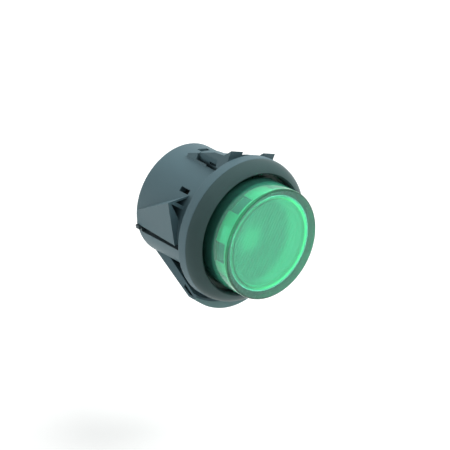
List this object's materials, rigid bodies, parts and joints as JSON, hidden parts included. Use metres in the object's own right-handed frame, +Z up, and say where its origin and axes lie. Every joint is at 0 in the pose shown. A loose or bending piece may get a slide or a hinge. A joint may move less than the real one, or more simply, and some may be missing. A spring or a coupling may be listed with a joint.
{
  "type": "panel pilot light",
  "caption": "Round snap-in panel pilot light with a raised clear green lens, a domed bezel, spring wings and push-on blade terminals.",
  "frame": {"origin": "centre of the flange's rear face, the face that seats on the panel", "axes": "-Y out of the lens, +Y into the panel along the lamp's axis, +Z up, +X to the right of someone who looks along +Y at the lens"},
  "size_m": [0.03, 0.0333, 0.0339],
  "materials": {
    "housing_black": "moulded black thermoplastic, satin",
    "bezel_black": "moulded black thermoplastic, semi-gloss",
    "lens_green": "clear green polycarbonate, polished",
    "diffuser_green": "milky green polycarbonate, finely ribbed",
    "reflector_white": "white thermoplastic",
    "carrier_black": "moulded black thermoplastic",
    "base_black": "moulded black insulating plastic",
    "lamp_glass": "clear glass",
    "tinned_wire": "tinned copper wire",
    "resistor_body": "lacquered resistor",
    "sleeve_clear": "soft clear sleeving",
    "terminal_metal": "tin-plated brass, stamped",
    "rivet_brass": "brass, formed"
  },
  "bodies": {
    "root": {"housing": "housing_black", "bezel_ring": "bezel_black", "lens_cap": "lens_green", "diffuser": "diffuser_green", "reflector": "reflector_white", "lamp_carrier": "carrier_black", "neon_lamp": "lamp_glass", "lamp_lead_left": "tinned_wire", "lamp_lead_right": "tinned_wire", "wire_ferrule": "tinned_wire", "resistor": "resistor_body", "resistor_sleeve": "sleeve_clear", "resistor_lead_top": "tinned_wire", "resistor_lead_bottom": "tinned_wire", "tag_left": "terminal_metal", "tag_right": "terminal_metal", "blade_left": "terminal_metal", "blade_right": "terminal_metal", "rivet_left": "rivet_brass", "rivet_right": "rivet_brass", "rear_base": "base_black"}
  },
  "joints": []
}
